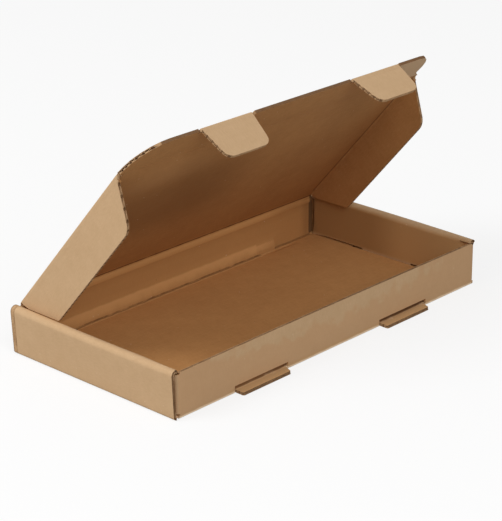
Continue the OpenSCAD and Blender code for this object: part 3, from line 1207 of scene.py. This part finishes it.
class MailerBox:
    """The whole box: its panels, their creases and what covers them."""

    # How far the creases' liners end before the lid's corners, and half the length of a tab's crease.
    FRONT_CREASE_INSET = 1.25 * MM
    SIDE_CREASE_INSET = 2.1 * MM
    TAB_CREASE_HALF = 16.3 * MM
    # How far the middle of a side flap's crease lies back from the lid's.
    SIDE_CREASE_BACK = 0.5 * MM

    def __init__(self) -> None:
        """Reads the creases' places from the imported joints."""
        joints = {joint["name"]: joint for joint in frame["joints"]}
        lid_joint = joints["lid_crease"]
        hinge = Vector(lid_joint["pos_m"])
        angle = math.radians(lid_joint["range_deg"][1])
        front = Vector(joints["front_flap_crease"]["pos_m"])
        side = Vector(joints["side_flap_right_crease"]["pos_m"])
        tab = Vector(joints["tab_left_crease"]["pos_m"])
        flap = (tab - front).dot((front - hinge).normalized())
        self.lid = OpenLid(hinge, angle, (front - hinge).length, side.x, flap)
        self.tray = TrayShape()
        across = Vector((1.0, 0.0, 0.0))
        self.lid_panel = Panel(hinge, self.lid.way, self.lid.inside)
        self.back_wall = Panel(hinge, Vector((0.0, 0.0, -1.0)), Vector((0.0, -1.0, 0.0)))
        self.right_panel = Panel(side, self.lid.inside, -across)
        self.left_panel = Panel(Vector((-side.x, side.y, side.z)), self.lid.inside, across)
        bend = math.radians(90 - joints["front_flap_crease"]["range_deg"][1])
        self.front_panel = Panel(front, *self._turned(self.lid.way, self.lid.inside, bend))
        self.tab_panels = {}
        for name in ("left", "right"):
            joint = joints[f"tab_{name}_crease"]
            fold = math.radians(-joint["range_deg"][0])
            ways = self._turned(self.front_panel.way, self.front_panel.inside, fold)
            self.tab_panels[name] = Panel(Vector(joint["pos_m"]), *ways)

    @staticmethod
    def _turned(way: Vector, inside: Vector, angle: float) -> tuple[Vector, Vector]:
        """A panel's way and inner normal after it turns to its inside by an angle."""
        cosine, sine = math.cos(angle), math.sin(angle)
        return way * cosine + inside * sine, inside * cosine - way * sine

    def panels(self) -> list[BoardPiece]:
        """The pieces of board, with the cuts that let them bend.

        Returns:
            The tray, the lid, its three flaps and the two tabs.
        """
        x_axis, y_axis, z_axis = Vector((1, 0, 0)), Vector((0, 1, 0)), Vector((0, 0, 1))
        lid, bowed = self.lid, self.lid.bowed
        x_cuts = (Vector((-0.1, 0, 0)), x_axis, 8 * MM, 26)

        def along_x(panel: Panel) -> Callable[[Vector, Vector], tuple[float, float]]:
            """The blank's map on a panel whose flutes run along X."""
            return lambda point, normal: (point.x, panel.local(point)[1])

        def along_way(panel: Panel) -> Callable[[Vector, Vector], tuple[float, float]]:
            """The blank's map on a side flap, whose flutes run away from its crease."""
            return lambda point, normal: (panel.local(point)[1], (point - lid.hinge).dot(lid.way))

        def on_tray(point: Vector, normal: Vector) -> tuple[float, float]:
            """The blank's map on the tray.

            Args:
                point: The point.
                normal: Its polygon's normal.

            Returns:
                Metres along and across the flutes.
            """
            if abs(point.x) > self.tray.edge - 0.1 * MM:
                return point.z, point.y
            return (point.x, point.z) if abs(normal.y) > FACING else (point.x, point.y)

        pieces = [
            BoardPiece("tray", self.tray.face, on_tray, self.tray.settled, [
                (Vector((-0.1, 0, 0)), x_axis, 20 * MM, 11),
                (Vector(((GAP_X - 0.2) * MM, 0, 0)), x_axis, 0.4 * MM, 2),
                (Vector((90 * MM, 0, 0)), x_axis, 0.4 * MM, 2),
                (Vector((0, -0.048, 0)), y_axis, 6 * MM, 17),
                *((Vector((0, y * MM, 0)), y_axis, MM, 1) for y in GROOVE_Y),
                (Vector((0, 0, 4 * MM)), z_axis, 4 * MM, 5),
            ]),
            BoardPiece("lid", self.lid_panel.face, along_x(self.lid_panel), bowed, [
                x_cuts, (lid.hinge + lid.way * 8 * MM, lid.way, 8 * MM, 13),
            ]),
            BoardPiece("front_flap", self.front_panel.face, along_x(self.front_panel), lid.worn_ear, [
                x_cuts, (lid.hinge + lid.way * (lid.length + 2 * MM), lid.way, 3 * MM, 6),
            ]),
        ]
        flap_cuts = [
            (lid.hinge + lid.way * 6 * MM, lid.way, 6 * MM, 18),
            (lid.hinge + lid.inside * 5 * MM, lid.inside, 5 * MM, 4),
        ]
        for name, panel in (("left", self.left_panel), ("right", self.right_panel)):
            blank = along_way(panel)
            pieces.append(BoardPiece(f"side_flap_{name}", panel.face, blank, lid.dipped, flap_cuts))
        for name, panel in self.tab_panels.items():
            bent = lid.wide_tab if name == "right" else bowed
            tab_cuts = [(panel.origin - x_axis * 12 * MM, x_axis, 6 * MM, 5)]
            pieces.append(BoardPiece(f"tab_{name}", panel.face, along_x(panel), bent, tab_cuts))
        return pieces

    def creases(self) -> list[Crease]:
        """The creases between panels that move.

        Returns:
            The lid's crease, those of its three flaps and those of the two tabs.
        """
        lid, bowed = self.lid, self.lid.bowed

        def still(point: Vector) -> Vector:
            """Leaves a point where it is."""
            return point

        front = self.front_panel
        front_half = lid.half_width - HALF_BOARD - self.FRONT_CREASE_INSET
        found = [
            Crease("lid_crease", "tray", "lid", self.back_wall, self.lid_panel, lid.half_width, still),
            Crease(
                "front_flap_crease", "lid", "front_flap",
                Panel(front.origin, -lid.way, lid.inside), front, front_half, bowed,
            ),
        ]
        middle = lid.way * (lid.length / 2 - self.SIDE_CREASE_BACK)
        for sign, name, panel in ((1, "right", self.right_panel), (-1, "left", self.left_panel)):
            found.append(Crease(
                f"side_flap_{name}_crease", "lid", f"side_flap_{name}",
                Panel(panel.origin + middle, Vector((-sign, 0, 0)), lid.inside),
                Panel(panel.origin + middle, panel.way, panel.inside),
                lid.length / 2 - self.SIDE_CREASE_INSET, still,
            ))
        for name, panel in self.tab_panels.items():
            found.append(Crease(
                f"tab_{name}_crease", "front_flap", f"tab_{name}",
                Panel(panel.origin, -front.way, front.inside), panel, self.TAB_CREASE_HALF, bowed, rows=8,
            ))
        return found

    def build(self, wardrobe: Wardrobe) -> None:
        """Makes all pieces.

        Args:
            wardrobe: The finishes.
        """
        for panel in self.panels():
            panel.make(wardrobe)
        for crease in self.creases():
            for liner in (Liner.OUTER, Liner.INNER):
                crease.make(liner, wardrobe)


@dataclass(frozen=True)
class PhotoCamera:
    """The camera, as it was fitted to the edges of the box. Angles in degrees, lengths in metres."""

    azimuth: float = -46.57
    elevation: float = 21.78
    roll: float = -0.45
    shift_right: float = -0.5 * MM
    shift_up: float = 28.5 * MM
    distance: float = 1.0049
    focal_pixels: float = 1993.0
    frame_height: float = 521.0
    sensor: float = 36.0
    nearest: float = 0.01
    farthest: float = 20.0

    def make(self) -> None:
        """Puts the camera in place."""
        azimuth, elevation, roll = map(math.radians, (self.azimuth, self.elevation, self.roll))
        level = math.cos(elevation)
        back = Vector((math.sin(azimuth) * level, -math.cos(azimuth) * level, math.sin(elevation)))
        right = Vector((math.cos(azimuth), math.sin(azimuth), 0.0))
        up = back.cross(right)
        turned_right = right * math.cos(roll) + up * math.sin(roll)
        turned_up = up * math.cos(roll) - right * math.sin(roll)
        data = bpy.data.cameras.new("photo_camera")
        data.sensor_fit = "AUTO"
        data.sensor_width = self.sensor
        data.lens = self.sensor * self.focal_pixels / self.frame_height
        data.clip_start = self.nearest
        data.clip_end = self.farthest
        camera = bpy.data.objects.new("photo_camera", data)
        place = back * self.distance + right * self.shift_right + up * self.shift_up
        for column, axis in enumerate((turned_right, turned_up, back, place)):
            for row in range(3):
                camera.matrix_world[row][column] = axis[row]
        bpy.context.scene.collection.objects.link(camera)
        bpy.context.scene.camera = camera


@dataclass(frozen=True)
class SoftLamp:
    """A large area lamp that looks at the box."""

    name: str
    place: Triple
    size: float
    power: float

    def make(self) -> None:
        """Hangs the lamp."""
        data = bpy.data.lights.new(self.name, "AREA")
        data.shape = "SQUARE"
        data.size = self.size
        data.energy = self.power
        lamp = bpy.data.objects.new(self.name, data)
        lamp.location = self.place
        lamp.rotation_mode = "QUATERNION"
        lamp.rotation_quaternion = (-Vector(self.place)).to_track_quat("-Z", "Y")
        bpy.context.scene.collection.objects.link(lamp)


class Studio:
    """Floor, lamps, world and camera."""

    LAMPS = (
        SoftLamp("key_lamp", (-1.7, 0.75, 1.5), 1.3, 29.0),
        SoftLamp("front_lamp", (-0.7, -1.55, 1.45), 1.2, 18.0),
    )
    ROOM_LIGHT = 0.36
    FLOOR_SIZE = 12.0
    FLOOR_DROP = 0.1 * MM

    def build(self) -> None:
        """Makes everything round the box."""
        PhotoCamera().make()
        for lamp in self.LAMPS:
            lamp.make()
        self._floor()
        self._world()
        bpy.context.scene.view_settings.view_transform = "Standard"

    def _floor(self) -> None:
        """The floor that the box stands on."""
        Bench.clear()
        bpy.ops.mesh.primitive_plane_add(size=self.FLOOR_SIZE, location=(0.0, 0.0, -self.FLOOR_DROP))
        bpy.ops.object.transform_apply(location=True)
        floor = bpy.context.object
        floor.name = "studio_floor"
        floor.data.materials.append(StudioFloor().build())

    def _world(self) -> None:
        """Even room light, with white where the camera looks past the floor."""
        world = bpy.data.worlds.new("studio_room")
        world.use_nodes = True
        tree = world.node_tree
        tree.nodes.clear()
        path = tree.nodes.new("ShaderNodeLightPath")
        room = tree.nodes.new("ShaderNodeBackground")
        room.inputs["Strength"].default_value = self.ROOM_LIGHT
        seen = tree.nodes.new("ShaderNodeBackground")
        mix = tree.nodes.new("ShaderNodeMixShader")
        out = tree.nodes.new("ShaderNodeOutputWorld")
        for background in (room, seen):
            background.inputs["Color"].default_value = WHITE
        tree.links.new(path.outputs["Is Camera Ray"], mix.inputs[0])
        tree.links.new(room.outputs[0], mix.inputs[1])
        tree.links.new(seen.outputs[0], mix.inputs[2])
        tree.links.new(mix.outputs[0], out.inputs["Surface"])
        bpy.context.scene.world = world


def main() -> None:
    """Builds the box and its studio."""
    logging.basicConfig(level=logging.INFO, format="%(name)s: %(message)s")
    MailerBox().build(Wardrobe())
    Studio().build()


if __name__ == "__main__":
    main()
